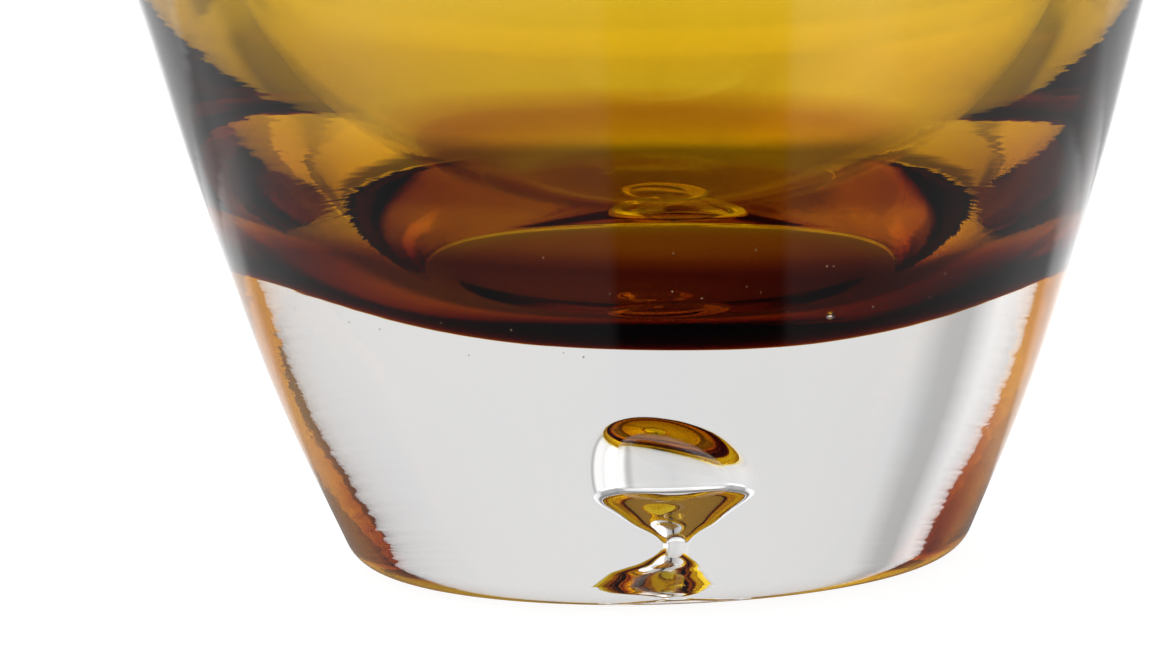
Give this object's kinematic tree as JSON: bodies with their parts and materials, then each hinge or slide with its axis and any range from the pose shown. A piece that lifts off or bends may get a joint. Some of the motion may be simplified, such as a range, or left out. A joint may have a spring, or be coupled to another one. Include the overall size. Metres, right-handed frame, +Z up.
{
  "type": "hyacinth forcing vase",
  "caption": "Heavy cased-glass bulb vase: amber vessel with a necked bulb cup, thick clear casing with a trapped air bubble, and a flat rolled foot.",
  "frame": {"origin": "centre of the foot, on the surface that the vase stands on", "axes": "+Z up along the vase's axis, +X to the right and -Y towards the viewer of the picture"},
  "size_m": [0.0948, 0.0948, 0.148],
  "materials": {
    "amber_glass": "transparent amber, fire polished",
    "clear_glass": "clear, fire polished, slightly rippled by hand"
  },
  "bodies": {
    "root": {"amber_vessel": "amber_glass", "clear_casing": "clear_glass", "foot_gather": "clear_glass"}
  },
  "joints": []
}
